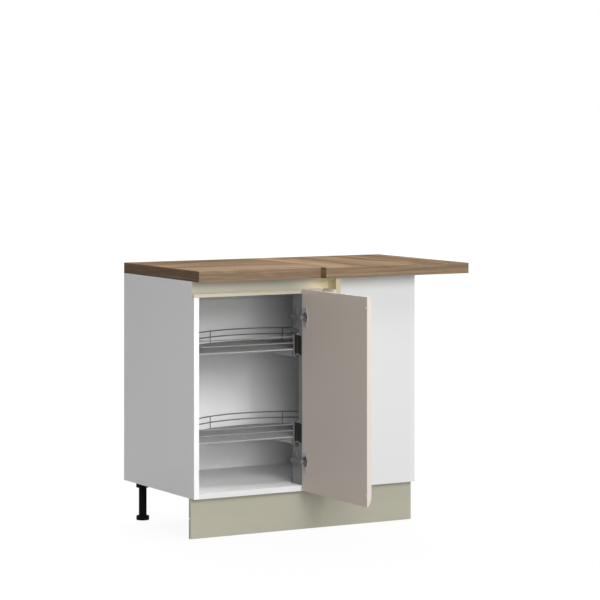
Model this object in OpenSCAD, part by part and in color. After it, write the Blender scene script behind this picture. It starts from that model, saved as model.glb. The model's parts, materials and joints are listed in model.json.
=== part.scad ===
// Corner base cabinet with two swing-out half-moon trays, a hinged door and a two-slab worktop.
// X runs right, Y runs from the front to the wall and Z runs up from the floor, in millimetres.
// Lengths are set out from the carcass's left outer face and front edge, then home() moves all.

/* [Carcass] */
// Outer width of the carcass
carcass_w = 830; // [780:5:960]
// Depth of the side panels
carcass_d = 512; // [490:1:560]
// Height of the carcass without legs and worktop
carcass_h = 695; // [660:5:760]
// Thickness of the melamine boards
board_t = 18; // [16:1:19]
// Thickness of the hardboard back
back_t = 3; // [2.5:0.5:5]
// Free space between the back panel and the wall
back_void = 24.5; // [15:0.5:35]
// Depth of the grooves that hold the back
groove_d = 8; // [5:0.5:10]
// Width of the two top rails
rail_w = 100; // [70:5:120]
// Radius of the wall fixing holes in the rear rail
wall_hole_r = 2.5; // [2:0.25:4]
// Distance of a wall fixing hole from the side panel
wall_hole_inset = 120; // [60:5:200]
// Diameter of the joining dowels
dowel_d = 8; // [6:1:10]
// Length of the joining dowels
dowel_l = 30; // [25:1:34]
// Distance of the outer dowels from a board's front or rear edge
dowel_inset = 110; // [100:1:130]

/* [Door opening] */
// Clear width of the door opening
opening_w = 377; // [374:1:400]
// Depth of the battens that carry the hinges
batten_d = 42; // [38:1:60]
// Height of the lower batten
batten_low_h = 122; // [115:1:124]
// Clearance between the upper tray's bracket and the upper batten
batten_gap = 6.2; // [4:0.1:12]

/* [Legs] */
// Height of the legs
leg_h = 130; // [110:1:170]
// Diameter of a levelling foot
foot_d = 43; // [36:1:60]
// Thickness of a levelling foot
foot_t = 14.5; // [8:0.5:20]
// Width of the chamfer round a levelling foot's top
foot_edge = 1.5; // [0.5:0.5:3]
// Diameter of a leg tube
leg_d = 26; // [22:1:36]
// Diameter of a foot's threaded stem
stem_d = 14; // [10:1:16]
// Length of a foot's threaded stem
stem_l = 48; // [40:1:60]
// Diameter of a leg socket's flange
socket_d = 62; // [60:1:70]
// Thickness of a leg socket's flange
socket_t = 5; // [4:0.5:8]
// Height of a leg socket's collar below its flange
collar_h = 16; // [10:1:25]
// Wall of a leg socket's collar
collar_t = 9; // [2:0.5:9.5]
// Distance of the leg centres from the outer side faces
leg_side = 46; // [40:1:80]
// Distance of the rear leg centres from the carcass's rear edge
leg_rear = 49; // [40:1:90]
// Distance of the front leg centres from the carcass's front edge
leg_front = 72; // [68:1:110]

/* [Plinth] */
// Distance of the plinth's face behind the carcass front
plinth_back = 24.5; // [10:0.5:30]
// Thickness of the plinth
plinth_t = 12; // [10:0.5:18]
// Clearance under the plinth
plinth_gap = 1; // [0.5:0.5:4]
// Width of the clip groove in the plinth's rear face
slot_w = 3.4; // [2.5:0.1:5]
// Depth of the clip groove
slot_d = 5; // [3:0.5:7]
// Wall of a clip's ring
clip_t = 3; // [2:0.5:4]
// Height of a clip's ring
clip_h = 14; // [8:1:24]

/* [Worktop] */
// Width of the whole worktop
worktop_w = 1000; // [960:5:1100]
// Thickness of the worktop
worktop_t = 35; // [28:1:40]
// Place of the seam from the left end
seam_x = 447.5; // [430:0.5:460]
// Front overhang of the left slab
overhang_left = 34.5; // [20:0.5:45]
// Front overhang of the right slab
overhang_right = 69.5; // [55:0.5:90]
// Rounding of the top front edges
worktop_round = 2; // [1:0.5:5]
// Diameter of the joint pockets under the worktop
pocket_d = 30; // [24:1:36]
// Depth of the joint pockets
pocket_h = 20; // [16:1:24]
// Distance of a pocket from the seam
pocket_x = 70; // [50:1:90]
// Diameter of a joint bolt
bolt_d = 8; // [6:1:10]
// Distance of the outer joint bolts from the carcass's front and rear edges
bolt_inset = 90; // [60:5:140]
// Width of a joint bolt's nut across its corners
nut_d = 13; // [11:1:14]
// Distance of the worktop screws from the side faces and the seam
rail_screw_inset = 110; // [80:5:150]

/* [Handle channel] */
// Height of the handle channel
channel_h = 51.3; // [48:0.1:58]
// Depth of the finger space
channel_d = 16; // [16:0.5:20]
// Wall of the channel profile
channel_t = 2; // [1.5:0.1:2.5]
// Height of the channel's front lip
lip_h = 11.5; // [8:0.5:15]
// Inside radius at the foot of the channel
channel_r = 6; // [4:0.5:6.5]
// Clear distance from the blind panel's edge to the return's finger face
return_x = 108.5; // [98:0.5:112]
// Reach of the return in front of the carcass
return_reach = 62; // [40:1:66]
// Thickness of the end cap
cap_t = 1.5; // [1:0.5:3]

/* [Door] */
// Width of the door
door_w = 410; // [406:1:411]
// Height of the door
door_h = 658; // [654:1:660]
// Thickness of the door
door_t = 16; // [16:0.5:19]
// Clearance between the closed door and the carcass
door_gap = 3.2; // [3.2:0.1:4]
// Height of the door's lower edge above the carcass underside
door_rise = 1; // [0:0.5:3]
// Height over which the door's face rounds off at the top
soft_top = 21; // [16:1:30]
// Height over which the door's face rounds off at the bottom
soft_bottom = 36; // [20:1:45]
// Thickness left at the rounded edges
soft_t = 2; // [1:0.5:4]
// Opening angle of the door as drawn
door_open = 90; // [0:5:95]
// Diameter of the door buffers
buffer_d = 8; // [6:1:10]
// Distance of the door buffers from the door's top and bottom
buffer_inset = 36; // [22:1:80]

/* [Hinges] */
// Height of the lower hinge above the carcass underside
hinge_low = 97.5; // [90:0.5:100]
// Height of the upper hinge above the foot of its batten
hinge_rise = 40; // [34:1:48]
// Diameter of the hinge cup
cup_d = 35; // [34:0.5:36]
// Distance of the cup hole from the door's hinge edge
cup_tab = 3; // [3:0.1:3.6]
// Distance of the hinge pin from the door's hinge edge
pin_edge = 8.2; // [7.8:0.1:8.4]
// Depth of the hinge pin behind the door's inner face
pin_deep = 10.8; // [10.5:0.1:11]
// Diameter of the hinge pin
pin_d = 2.4; // [2:0.1:2.6]
// Height of the cup flange
flange_h = 65; // [56:1:70]
// Width of the cup flange's wings
flange_w = 20; // [16:1:22]
// Thickness of the cup flange
flange_t = 1.2; // [0.8:0.1:1.5]
// Distance that a hinge arm reaches behind the carcass front
arm_reach = 54; // [48:1:58]
// Setback of the hinge plate's screws
plate_setback = 37; // [34:1:40]
// Height of the hinge plate
plate_h = 52; // [46:1:56]

/* [Filler] */
// Width of the filler's front leg
filler_w = 47; // [44:1:49]
// Reach of the filler's return in front of the carcass
filler_reach = 81; // [70:1:100]
// Clearance between the closed door and the filler
filler_gap = 4; // [3:0.5:6]
// Distance of the packer from the filler's top and bottom
packer_inset = 60; // [20:5:120]
// Distance of the packer from the filler's edges
packer_side = 6; // [2:1:12]

/* [Trays] */
// Radius of a tray's wire gallery
tray_r = 356; // [340:1:360]
// Least clearance between a tray and the left side panel, which a wider tray moves the blind panel to keep
tray_side_gap = 6; // [4:0.5:12]
// Height of the lower tray's floor above the carcass underside
tray_low = 173; // [171:0.5:180]
// Distance from the lower tray's floor to the upper tray's
tray_pitch = 286.5; // [260:0.5:300]
// Thickness of a tray's floor
floor_t = 3; // [2:0.5:5]
// Height of the lower wire above the tray's floor
wire_low = 20; // [16:1:24]
// Height of the upper wire above the tray's floor
wire_up = 40; // [34:1:42]
// Diameter of the wires
wire_d = 4; // [3.5:0.5:5]
// Diameter of the upright wires
post_d = 3.4; // [2.8:0.1:3.4]
// Diameter of the welds where the wires meet
weld_d = 5.2; // [5.2:0.1:6]
// Radius of the tray's front corners
corner_r = 25; // [15:1:40]
// Place of the first upright round the gallery
post_first = 21.5; // [15:0.5:30]
// Angle between the uprights
post_step = 46.5; // [40:0.5:49]
// Distance of a tray's front wire behind its pivot
pivot_e = 16; // [16:0.5:18]
// Distance of the pivot to the right of the blind panel's edge
pivot_in = 5; // [4.5:0.5:8]
// Distance of the pivot behind the blind panel's rear face
pivot_back = 12; // [12:0.5:14]
// Radius of a tray's hub
hub_r = 11.5; // [11:0.1:11.6]
// Reach of a hub below the tray's floor
hub_below = 13; // [10:1:15]
// Reach of a hub above the tray's floor
hub_above = 48; // [44:1:52]
// Diameter of a tray's pivot pin
pivot_d = 10; // [8:0.5:12]
// Length of the arm under a tray
tray_arm_l = 190; // [160:5:240]
// Width of the arm under a tray
tray_arm_w = 16; // [12:1:20]
// Depth of the arm below the tray's floor
tray_arm_h = 23; // [18:1:24]
// Thickness of the pivot bracket's lugs
lug_t = 4; // [3:0.5:5]
// Width of the pivot bracket's rear plate
mount_w = 30; // [26:1:40]
// Thickness of the black edge cover
cover_t = 3; // [2:0.5:4]

/* [Fits] */
// Running clearance round the pins
running = 0.05; // [0.02:0.01:0.1]
// Clearance between pieces that move
free_gap = 0.3; // [0.2:0.05:0.5]
// Clearance between fixed pieces
seat = 0.1; // [0.05:0.05:0.3]

/* [Hidden] */
$fn = 64;
eps = 0.01;
base_z = leg_h;
top_z = base_z + carcass_h;
right_x = carcass_w - board_t;
blind_x = board_t + max(opening_w, tray_r + wire_d / 2 + tray_side_gap - pivot_in);
back_y = carcass_d - back_void - back_t;
rear_rail_y = back_y - board_t;
channel_z = top_z - channel_h;
notch_d = channel_d + channel_t;
return_face_x = blind_x + return_x;
return_lip_x = return_face_x - channel_d;
return_end_x = return_face_x + channel_t;
door_right = blind_x + board_t - 1;
door_left = door_right - door_w;
door_z = base_z + door_rise;
pin_x = door_right - pin_edge;
pin_y = -door_gap - pin_deep;
cup_x = door_right - cup_tab - cup_d / 2;
cup_wall = 0.8;
knuckle_r = pin_d / 2 + 0.8;
cup_in = pin_deep + knuckle_r + 0.4;
cup_floor = 0.6;
knuckle_h = 10;
arm_h = 14;
arm_t = 8;
arm_clear = 0.45;
arm_right = pin_x - norm([pin_edge, pin_deep]) - arm_clear;
knuckle_ease = 0.6;
ear_t = 3.5;
adjuster_d = 5;
adjuster_deep = 2;
foot_front_y = 10;
plate_w = 16;
plate_hole = 16;
wing_t = 2.5;
screw_d = 3.5;
screw_head = 7;
screw_sink = 2;
screw_l = 15;
mount_over = 9;
tray_up = tray_low + tray_pitch;
batten_up_z = tray_up + hub_above + free_gap + lug_t + mount_over + batten_gap;
hinge_up = batten_up_z + hinge_rise;
hinge_heights = [hinge_low, hinge_up];
pivot_x = blind_x + pivot_in;
pivot_y = board_t + pivot_back;
hub_shave = 0.9;
hub_flat = hub_r - hub_shave;
lug_r = hub_flat - 2 * free_gap;
arm_plate_over = 1.5;
tray_arm_taper = 30;
cap_h = 2;
cap_over = 2;
cover_slope = 4;
cover_front = 1;
fillet_x = sqrt(pow(tray_r - corner_r, 2) - pow(corner_r, 2));
fillet_a = atan2(corner_r, fillet_x);
post_count = floor((180 - 2 * fillet_a - post_first) / post_step) + 1;
mount_x = pivot_x + hub_r + 1;
mount_t = 3;
filler_x = door_right + filler_gap;
filler_end = filler_x + filler_w;
filler_t = door_t;
filler_face_y = -door_gap - filler_t;
leg_mid_x = carcass_w / 2;
leg_places = [
    [leg_side, carcass_d - leg_rear], [carcass_w - leg_side, carcass_d - leg_rear],
    [leg_side, leg_front], [carcass_w - leg_side, leg_front], [leg_mid_x, leg_front]];
socket_ring = leg_d + 2 * collar_t;
front_legs = [leg_places[2], leg_places[3], leg_places[4]];
tube_z = foot_t + free_gap;
clip_w = 18;
clip_wrap = 6;
clip_open = leg_d - clip_wrap;
tube_top = base_z - socket_t;
plinth_h = base_z - plinth_gap - seat;
slot_z = plinth_gap + plinth_h / 2;
thread_out = 2;
bolt_slack = 1;
bolt_rows = [bolt_inset, carcass_d / 2, carcass_d - bolt_inset];
rail_mid_y = notch_d + rail_w / 2;
worktop_screws = [
    [rail_screw_inset, rail_mid_y], [seam_x - rail_screw_inset, rail_mid_y],
    [seam_x + rail_screw_inset, rail_mid_y], [carcass_w - rail_screw_inset, rail_mid_y]];
origin_x = worktop_w / 2;
origin_y = (carcass_d - (door_w - pin_edge) * sin(door_open) + pin_y) / 2;

// ---- shared helpers ----

// Moves a piece from the carcass's corner to the middle of the footprint
module home() { translate([-origin_x, -origin_y, 0]) children(); }

// A box given by its low and high corners
module span(low, high) { translate(low) cube(high - low); }

// Swings a piece drawn with the door closed to the door's drawn position
module on_door() {
    translate([pin_x, pin_y, 0]) rotate([0, 0, door_open]) translate([-pin_x, -pin_y, 0]) children();
}

// A bar along X, drawn from its low end
module bar_x(d, l) { rotate([0, 90, 0]) cylinder(d = d, h = l); }

// A bar along Y, drawn from its low end
module bar_y(d, l) { rotate([-90, 0, 0]) cylinder(d = d, h = l); }

// A countersunk screw that points down from its head
module screw(length, slack = 0) {
    translate([0, 0, -length]) cylinder(d = screw_d + 2 * slack, h = length + (slack > 0 ? eps : 0));
    translate([0, 0, -screw_sink])
        cylinder(d1 = screw_d + 2 * slack, d2 = screw_head + 2 * slack, h = screw_sink + slack);
}

// ---- carcass joints ----

// Every dowel, with slack round it when it is used to cut the holes
module dowels(slack = 0) {
    d = dowel_d + 2 * slack;
    l = dowel_l + 2 * slack;
    rows = [dowel_inset, carcass_d / 2, carcass_d - dowel_inset];
    for (x = [board_t, right_x]) {
        for (y = rows) translate([x - l / 2, y, base_z + board_t / 2]) bar_x(d, l);
        for (y = [notch_d + rail_w / 4, notch_d + rail_w * 3 / 4])
            translate([x - l / 2, y, top_z - board_t / 2]) bar_x(d, l);
        for (z = [top_z - rail_w / 4, top_z - rail_w * 3 / 4])
            translate([x - l / 2, rear_rail_y + board_t / 2, z]) bar_x(d, l);
    }
}

// The groove that the back panel sits in
module back_groove() {
    span([board_t - groove_d, back_y - seat, base_z + board_t - groove_d],
         [right_x + groove_d, back_y + back_t + seat, top_z + eps]);
}

module side_left() color("white") home() difference() {
    span([0, 0, base_z], [board_t, carcass_d, top_z]);
    span([-eps, -eps, channel_z - seat], [board_t + eps, notch_d + seat, top_z + eps]);
    back_groove();
    dowels(seat);
}

module side_right() color("white") home() difference() {
    span([right_x, 0, base_z], [carcass_w, carcass_d, top_z]);
    back_groove();
    dowels(seat);
}

module bottom_panel() color("white") home() difference() {
    span([board_t, 0, base_z], [right_x, carcass_d, base_z + board_t]);
    span([blind_x, -eps, base_z - eps], [right_x + eps, board_t, base_z + board_t + eps]);
    back_groove();
    dowels(seat);
    socket_fixings(seat);
}

module back_panel() color("white") home() difference() {
    span([board_t - groove_d + seat, back_y, base_z + board_t - groove_d + seat],
         [right_x + groove_d - seat, back_y + back_t, top_z]);
    wall_holes();
}

// The holes for the screws that hold the cabinet to the wall
module wall_holes() {
    for (x = [board_t + wall_hole_inset, right_x - wall_hole_inset])
        translate([x, rear_rail_y - eps, top_z - rail_w / 2]) bar_y(2 * wall_hole_r, back_void + board_t);
}

module top_rail_front() color("white") home() difference() {
    span([board_t, notch_d, top_z - board_t], [right_x, notch_d + rail_w, top_z]);
    dowels(seat);
    worktop_fixings(seat);
}

module top_rail_rear() color("white") home() difference() {
    span([board_t, rear_rail_y, top_z - rail_w], [right_x, back_y, top_z]);
    dowels(seat);
    wall_holes();
}

module blind_panel() color("white") home() difference() {
    span([blind_x, 0, base_z], [right_x, board_t, top_z]);
    span([blind_x - eps, -eps, channel_z - seat], [return_end_x + seat, board_t + eps, top_z + eps]);
    pivot_fixings(seat);
}

module batten(low, high) {
    difference() {
        span([blind_x, board_t, low], [blind_x + board_t, board_t + batten_d, high]);
        hinge_fixings(seat);
    }
}

module hinge_batten_lower() color("white") home()
    batten(base_z + board_t, base_z + board_t + batten_low_h);

module hinge_batten_upper() color("white") home() batten(base_z + batten_up_z, channel_z - seat);

module carcass_dowels() color("burlywood") home() dowels();

// ---- worktop ----

// The section of a slab, drawn in Y and Z with a rounded top front edge
module slab_section(overhang) {
    difference() {
        translate([-overhang, 0]) square([carcass_d + overhang, worktop_t]);
        translate([-overhang - eps, worktop_t - worktop_round]) difference() {
            square(worktop_round + eps);
            translate([worktop_round + eps, 0]) circle(r = worktop_round);
        }
    }
}

module slab(from, to, overhang) {
    translate([from, 0, top_z]) rotate([90, 0, 90])
        linear_extrude(to - from) slab_section(overhang);
}

// The pockets and slots under the seam that hold the joint bolts
module joint_pockets() {
    for (y = bolt_rows, side = [-1, 1]) translate([seam_x + side * pocket_x, y, top_z - eps]) {
        cylinder(d = pocket_d, h = pocket_h + eps);
        translate([side > 0 ? -pocket_x - eps : 0, -bolt_d / 2 - bolt_slack, 0])
            cube([pocket_x + eps, bolt_d + 2 * bolt_slack, pocket_h + eps]);
    }
}

// A bolt across the seam, with a washer and a nut at each end that bear on the pocket walls
module joint_bolt() {
    washer_t = 3;
    plate = nut_d + washer_t;
    bearing = pocket_x - sqrt(pow(pocket_d / 2, 2) - pow(plate / 2, 2)) + seat;
    reach = bearing + 2 * washer_t + thread_out;
    translate([-reach, 0, 0]) bar_x(bolt_d, 2 * reach);
    for (side = [-1, 1]) translate([side * (bearing + washer_t / 2), 0, 0]) {
        cube([washer_t, plate, plate], center = true);
        translate([side * washer_t, 0, 0]) rotate([0, 90, 0])
            cylinder(d = nut_d, h = washer_t, center = true, $fn = 6);
    }
}

module worktop_fixings(slack = 0) {
    for (p = worktop_screws) translate([p[0], p[1], top_z - board_t]) rotate([180, 0, 0])
        screw(board_t + screw_l, slack);
}

module worktop_left() color("peru") home() difference() {
    slab(0, seam_x, overhang_left);
    joint_pockets();
    worktop_fixings(seat);
}

module worktop_right() color("peru") home() difference() {
    slab(seam_x, worktop_w, overhang_right);
    joint_pockets();
    worktop_fixings(seat);
}

module worktop_joint_bolts() color("silver") home()
    for (y = bolt_rows) translate([seam_x, y, top_z + pocket_h / 2]) joint_bolt();

module worktop_screws() color("silver") home() worktop_fixings();

// ---- handle channel ----

// The channel's section: finger face, round foot and front lip, open to the front
module channel_section() {
    difference() {
        square([notch_d, channel_h]);
        translate([channel_t, channel_t + channel_r]) square([channel_d - channel_t, channel_h]);
        translate([channel_t + channel_r, channel_t])
            square([channel_d - channel_t - 2 * channel_r, channel_h]);
        for (x = [channel_t + channel_r, channel_d - channel_r])
            translate([x, channel_t + channel_r]) circle(r = channel_r);
        translate([-eps, lip_h]) square([channel_d - eps, channel_h]);
    }
}

// The corner between the front channel and its return, cut at 45 degrees
module mitre(side) {
    reach = 2 * carcass_w;
    translate([return_end_x, notch_d, channel_z - 1]) linear_extrude(channel_h + 2)
        polygon([[0, 0], [-reach, -reach], side > 0 ? [-reach, 0] : [0, -reach]]);
}

module handle_channel_front() color("tan") home() intersection() {
    translate([0, 0, channel_z]) rotate([90, 0, 90]) linear_extrude(return_end_x) channel_section();
    mitre(1);
}

module handle_channel_return() color("tan") home() intersection() {
    translate([return_lip_x, notch_d, channel_z]) rotate([90, 0, 0])
        linear_extrude(notch_d + return_reach - cap_t) channel_section();
    mitre(-1);
}

module handle_channel_cap() color("tan") home() translate([return_lip_x, -return_reach, channel_z])
    cube([notch_d, cap_t, channel_h]);

// ---- corner filler ----

// The section of the filler, with its face rounded off at the foot and head like the door's
module front_section(t) {
    cut_x = t - soft_t;
    r_top = (pow(soft_top, 2) + pow(cut_x, 2)) / (2 * cut_x);
    r_low = (pow(soft_bottom, 2) + pow(cut_x, 2)) / (2 * cut_x);
    difference() {
        square([t, door_h]);
        translate([-eps, door_h - soft_top]) difference() {
            square([cut_x + eps, soft_top + eps]);
            translate([r_top + eps, 0]) circle(r = r_top, $fn = 128);
        }
        translate([-eps, -eps]) difference() {
            square([cut_x + eps, soft_bottom + eps]);
            translate([r_low + eps, soft_bottom + eps]) circle(r = r_low, $fn = 128);
        }
    }
}

module filler_front() color("tan") home()
    translate([filler_x, filler_face_y, door_z]) rotate([90, 0, 90])
        linear_extrude(filler_w) front_section(filler_t);

module filler_return() color("tan") home()
    translate([filler_end, -door_gap, door_z]) rotate([90, 0, 0])
        linear_extrude(filler_reach - door_gap) front_section(filler_t);

module filler_packer() color("white") home()
    span([filler_x + packer_side, -door_gap, door_z + packer_inset],
         [filler_end - packer_side, 0, door_z + door_h - packer_inset]);

// ---- door and hinges ----

module cup_holes() {
    for (z = hinge_heights) translate([cup_x, -door_gap - cup_in - cup_floor - seat, base_z + z])
        bar_y(cup_d + 2 * seat, cup_in + cup_floor + seat + eps);
}

module door() color("tan") home() on_door() difference() {
    translate([door_left, -door_gap - door_t, door_z]) rotate([90, 0, 90])
        linear_extrude(door_w) front_section(door_t);
    cup_holes();
}

// The cup's outline on the door's inner face
module flange_outline() {
    circle(d = cup_d + 1);
    square([flange_w, flange_h], center = true);
}

module hinge_cup(z) {
    in_r = cup_d / 2 - cup_wall;
    translate([cup_x, 0, base_z + z]) difference() {
        union() {
            translate([0, -door_gap - cup_in - cup_floor, 0]) bar_y(cup_d, cup_in + cup_floor);
            translate([0, -door_gap, 0]) rotate([-90, 0, 0]) linear_extrude(flange_t) flange_outline();
        }
        difference() {
            translate([0, -door_gap - cup_in, 0]) bar_y(2 * in_r, cup_in + flange_t + eps);
            for (side = [-1, 1]) translate([pin_x - cup_x - knuckle_r, pin_y - knuckle_r - ear_t,
                side * (knuckle_h / 2 + free_gap + ear_t / 2) - ear_t / 2])
                cube([cup_d, 2 * knuckle_r + ear_t, ear_t]);
        }
        translate([pin_x - cup_x, pin_y, -knuckle_h]) cylinder(d = pin_d + running, h = 2 * knuckle_h);
        for (side = [-1, 1]) translate([0, -door_gap - eps, side * (flange_h / 2 - screw_head)])
            bar_y(screw_d, flange_t + 2 * eps);
    }
}

module hinge_pin(z) {
    l = knuckle_h + 2 * (free_gap + ear_t);
    translate([pin_x, pin_y, base_z + z - l / 2]) cylinder(d = pin_d, h = l);
}

module hinge_arm(z) {
    translate([0, 0, base_z + z]) difference() {
        union() {
            translate([pin_x, pin_y, -knuckle_h / 2]) cylinder(r = knuckle_r, h = knuckle_h);
            span([arm_right - arm_t, pin_y - knuckle_r, -knuckle_h / 2],
                 [pin_x, pin_y + knuckle_r - knuckle_ease, knuckle_h / 2]);
            span([arm_right - arm_t, pin_y - knuckle_r, -arm_h / 2], [arm_right, arm_reach, arm_h / 2]);
        }
        translate([pin_x, pin_y, -knuckle_h]) cylinder(d = pin_d + 2 * running, h = 2 * knuckle_h);
        for (y = [arm_reach - arm_t, plate_setback - plate_w]) translate([arm_right - arm_t - eps, y, 0])
            bar_x(adjuster_d, adjuster_deep);
    }
}

module hinge_plate(z) {
    difference() {
        translate([0, 0, base_z + z]) {
            span([arm_right, foot_front_y, -arm_h / 2], [blind_x, arm_reach, arm_h / 2]);
            span([blind_x - wing_t, plate_setback - plate_w / 2, -plate_h / 2],
                 [blind_x, plate_setback + plate_w / 2, plate_h / 2]);
        }
        hinge_fixings(seat);
    }
}

// The four screws that hold the hinge plates to the battens
module hinge_fixings(slack = 0) {
    for (z = hinge_heights, side = [-1, 1])
        translate([blind_x - wing_t, plate_setback, base_z + z + side * plate_hole]) rotate([0, -90, 0])
            screw(screw_l, slack);
}

module hinge_cup_lower() color("silver") home() on_door() hinge_cup(hinge_low);
module hinge_cup_upper() color("silver") home() on_door() hinge_cup(hinge_up);
module hinge_pin_lower() color("gray") home() on_door() hinge_pin(hinge_low);
module hinge_pin_upper() color("gray") home() on_door() hinge_pin(hinge_up);
module hinge_arm_lower() color("silver") home() hinge_arm(hinge_low);
module hinge_arm_upper() color("silver") home() hinge_arm(hinge_up);
module hinge_plate_lower() color("silver") home() hinge_plate(hinge_low);
module hinge_plate_upper() color("silver") home() hinge_plate(hinge_up);
module hinge_screws() color("gray") home() hinge_fixings();

module door_buffers() color("gainsboro") home() on_door()
    for (z = [buffer_inset, door_h - buffer_inset])
        translate([(door_left + board_t) / 2, -door_gap, door_z + z]) bar_y(buffer_d, door_gap - free_gap);

// ---- trays ----

// Moves a tray's piece from its pivot and floor level to its place
module at_pivot(z) { translate([pivot_x, pivot_y, base_z + z]) children(); }

// The tray's outline from its pivot, larger than the wire's centre line by grow
module tray_outline(grow) {
    translate([0, pivot_e]) union() {
        intersection() {
            circle(r = tray_r + grow, $fn = 256);
            translate([-fillet_x, corner_r]) square([2 * fillet_x, tray_r + grow]);
        }
        difference() {
            intersection() {
                circle(r = tray_r + grow, $fn = 256);
                translate([-tray_r - grow, -grow]) square([2 * (tray_r + grow), corner_r * 4]);
            }
            for (side = [-1, 1]) mirror([side > 0 ? 0 : 1, 0]) translate([fillet_x, -grow - eps])
                difference() {
                    square([tray_r, corner_r + grow + eps]);
                    translate([0, corner_r + grow + eps]) circle(r = corner_r + grow);
                }
        }
    }
}

// One wire bent round the tray's outline and welded at its four joints
module wire_loop() {
    translate([0, pivot_e, 0]) {
        rotate([0, 0, fillet_a]) rotate_extrude(angle = 180 - 2 * fillet_a, $fn = 256)
            translate([tray_r, 0]) circle(d = wire_d, $fn = 24);
        translate([-fillet_x, 0, 0]) bar_x(wire_d, 2 * fillet_x);
        for (side = [0, 1]) mirror([side, 0, 0]) translate([fillet_x, corner_r, 0]) {
            rotate([0, 0, -90]) rotate_extrude(angle = 90 + fillet_a)
                translate([corner_r, 0]) circle(d = wire_d, $fn = 24);
            for (a = [-90, fillet_a]) rotate([0, 0, a]) translate([corner_r, 0, 0]) sphere(d = weld_d);
        }
    }
}

module tray_floor(z) {
    at_pivot(z) translate([0, 0, -floor_t]) linear_extrude(floor_t) tray_outline(wire_d / 2);
}

module tray_gallery(z) {
    at_pivot(z) {
        for (h = [wire_low, wire_up]) translate([0, 0, h]) wire_loop();
        for (i = [0:post_count - 1]) translate([0, pivot_e, 0]) rotate([0, 0, post_first + i * post_step])
            translate([tray_r, 0, 0]) cylinder(d = post_d, h = wire_up);
    }
}

// The arm under the tray and the plate that joins it to the hub
module tray_arm(z) {
    rear = pivot_e - wire_d / 2;
    low = -floor_t - tray_arm_h;
    half = hub_r + arm_plate_over;
    at_pivot(z) {
        span([-half, hub_flat, low], [half, rear, hub_above]);
        translate([-tray_arm_w / 2, 0, 0]) rotate([90, 0, 90]) linear_extrude(tray_arm_w)
            polygon([[rear, -floor_t], [rear, low], [tray_arm_l - tray_arm_taper, low],
                [tray_arm_l, -floor_t]]);
    }
}

module tray_hub(z) {
    at_pivot(z) difference() {
        translate([0, 0, -hub_below]) cylinder(r = hub_r, h = hub_below + hub_above);
        translate([-hub_r - 1, hub_flat, -hub_below - 1])
            cube([2 * hub_r + 2, hub_r, hub_below + hub_above + 2]);
        translate([0, 0, -hub_below - 1])
            cylinder(d = pivot_d + 2 * running, h = hub_below + hub_above + 2);
    }
}

// The fixed bracket: a plate behind the blind panel and two lugs that hold the pin
module pivot_bracket(z) {
    low = -hub_below - free_gap - lug_t;
    high = hub_above + free_gap;
    at_pivot(z) difference() {
        union() {
            for (h = [low, high]) translate([0, 0, h]) linear_extrude(lug_t) union() {
                circle(r = lug_r);
                translate([0, -pivot_back]) square([mount_x + mount_w - pivot_x, pivot_back]);
            }
            span([mount_x - pivot_x, -pivot_back, low - mount_over],
                 [mount_x - pivot_x + mount_w, -pivot_back + mount_t, high + lug_t + mount_over]);
        }
        translate([0, 0, low - 1]) cylinder(d = pivot_d + running, h = high - low + lug_t + 2);
        translate([-pivot_x, -pivot_y, -base_z - z]) pivot_fixings(seat);
    }
}

// The screws that hold the pivot brackets to the blind panel
module pivot_fixings(slack = 0) {
    for (z = [tray_low, tray_up], x = [mount_x + screw_head, mount_x + mount_w - screw_head],
         h = [-hub_below - lug_t - mount_over / 2, hub_above + lug_t + mount_over / 2])
        translate([x, board_t + mount_t, base_z + z + h]) rotate([-90, 0, 0]) screw(screw_l, slack);
}

module pivot_pin(z) {
    l = hub_below + hub_above + 2 * (free_gap + lug_t);
    at_pivot(z) translate([0, 0, -hub_below - free_gap - lug_t]) {
        cylinder(d = pivot_d, h = l);
        translate([0, 0, l]) cylinder(d = pivot_d + 2 * cap_over, h = cap_h);
    }
}

// The black cover on the blind panel's edge, with ends that slope down to the front
module pivot_cover(z) {
    translate([blind_x - cover_t, 0, base_z + z]) rotate([90, 0, 90]) linear_extrude(cover_t)
        polygon([[cover_front, -hub_below - cover_slope], [board_t - seat, -hub_below],
                 [board_t - seat, hub_above], [cover_front, hub_above - cover_slope]]);
}

module lower_tray_floor() color("gray") home() tray_floor(tray_low);
module lower_tray_gallery() color("silver") home() tray_gallery(tray_low);
module lower_tray_arm() color("lightgray") home() tray_arm(tray_low);
module lower_tray_hub() color("black") home() tray_hub(tray_low);
module upper_tray_floor() color("gray") home() tray_floor(tray_up);
module upper_tray_gallery() color("silver") home() tray_gallery(tray_up);
module upper_tray_arm() color("lightgray") home() tray_arm(tray_up);
module upper_tray_hub() color("black") home() tray_hub(tray_up);
module lower_pivot_bracket() color("silver") home() pivot_bracket(tray_low);
module upper_pivot_bracket() color("silver") home() pivot_bracket(tray_up);
module lower_pivot_pin() color("gray") home() pivot_pin(tray_low);
module upper_pivot_pin() color("gray") home() pivot_pin(tray_up);
module lower_pivot_cover() color("black") home() pivot_cover(tray_low);
module upper_pivot_cover() color("black") home() pivot_cover(tray_up);
module pivot_screws() color("gray") home() pivot_fixings();

// ---- legs and plinth ----

module socket_fixings(slack = 0) {
    for (p = leg_places, a = [45:90:315]) translate([p[0], p[1], base_z - socket_t])
        rotate([0, 0, a]) translate([(socket_d / 2 + socket_ring / 2) / 2, 0, 0]) rotate([180, 0, 0])
            screw(screw_l, slack);
}

module leg_sockets() color("black") home() difference() {
    for (p = leg_places) translate([p[0], p[1], base_z - socket_t]) {
        cylinder(d = socket_d, h = socket_t);
        translate([0, 0, -collar_h]) difference() {
            cylinder(d = socket_ring, h = collar_h);
            translate([0, 0, -1]) cylinder(d = leg_d + 2 * seat, h = collar_h + 1);
        }
    }
    socket_fixings(seat);
}

module socket_screws() color("gray") home() socket_fixings();

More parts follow.
